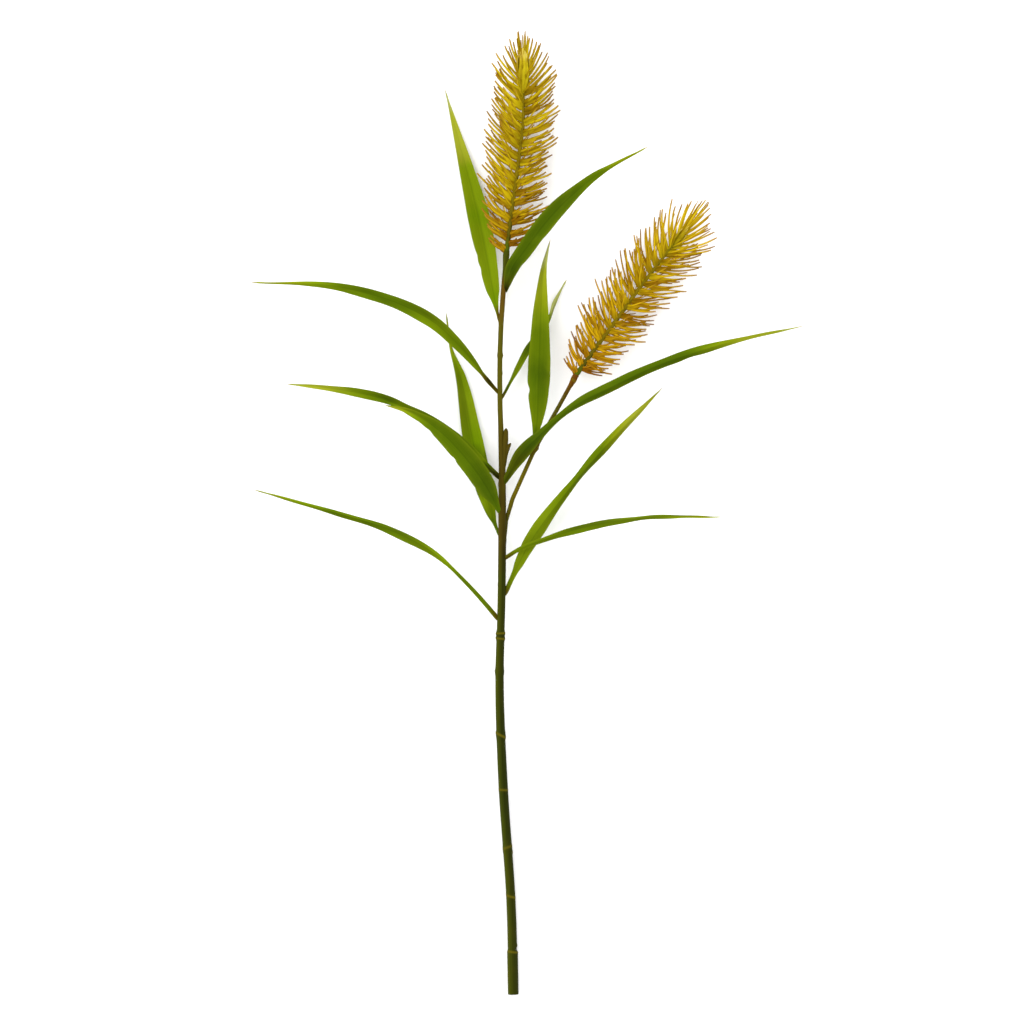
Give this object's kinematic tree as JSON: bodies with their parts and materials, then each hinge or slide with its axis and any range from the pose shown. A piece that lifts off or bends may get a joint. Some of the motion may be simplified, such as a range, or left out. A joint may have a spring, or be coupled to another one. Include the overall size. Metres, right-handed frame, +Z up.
{
  "type": "bristle grass",
  "caption": "Cut shoot of bristle grass lying on a surface: a jointed stem with long arching leaves, a short side branch and bottle-brush flower spikes of stiff bristles.",
  "frame": {"origin": "middle of the bounding box's bottom face, on the surface that the cutting lies on", "axes": "+Y runs up the stem from its cut end to the tip of the main spike, +Z is straight up from the surface, +X is across, towards the side branch"},
  "size_m": [0.4026, 0.7026, 0.0598],
  "materials": {
    "main_stem": "smooth, slightly waxy, olive brown to dark green, paler at the joints",
    "side_branch": "smooth, slightly waxy, olive with a reddish sheath below the spike",
    "lower_leaf": "satin green blade with fine parallel veins and a pale midrib",
    "light_leaf": "satin light yellow-green blade with fine parallel veins",
    "dark_leaf": "satin dark green blade with fine parallel veins and paler margins",
    "main_spike": "dry glossy straw-yellow bristles turning orange-brown to the tips",
    "side_spike": "dry glossy straw-yellow bristles turning orange-brown to the tips"
  },
  "bodies": {
    "root": {"main_stem": "main_stem", "side_branch": "side_branch", "leaf_01": "lower_leaf", "leaf_02": "light_leaf", "leaf_03": "lower_leaf", "leaf_04": "light_leaf", "leaf_05": "lower_leaf", "leaf_06": "dark_leaf", "leaf_07": "lower_leaf", "leaf_08": "light_leaf", "leaf_09": "lower_leaf", "leaf_10": "lower_leaf", "leaf_11": "light_leaf", "leaf_12": "dark_leaf", "main_spike": "main_spike", "side_spike": "side_spike"}
  },
  "joints": []
}
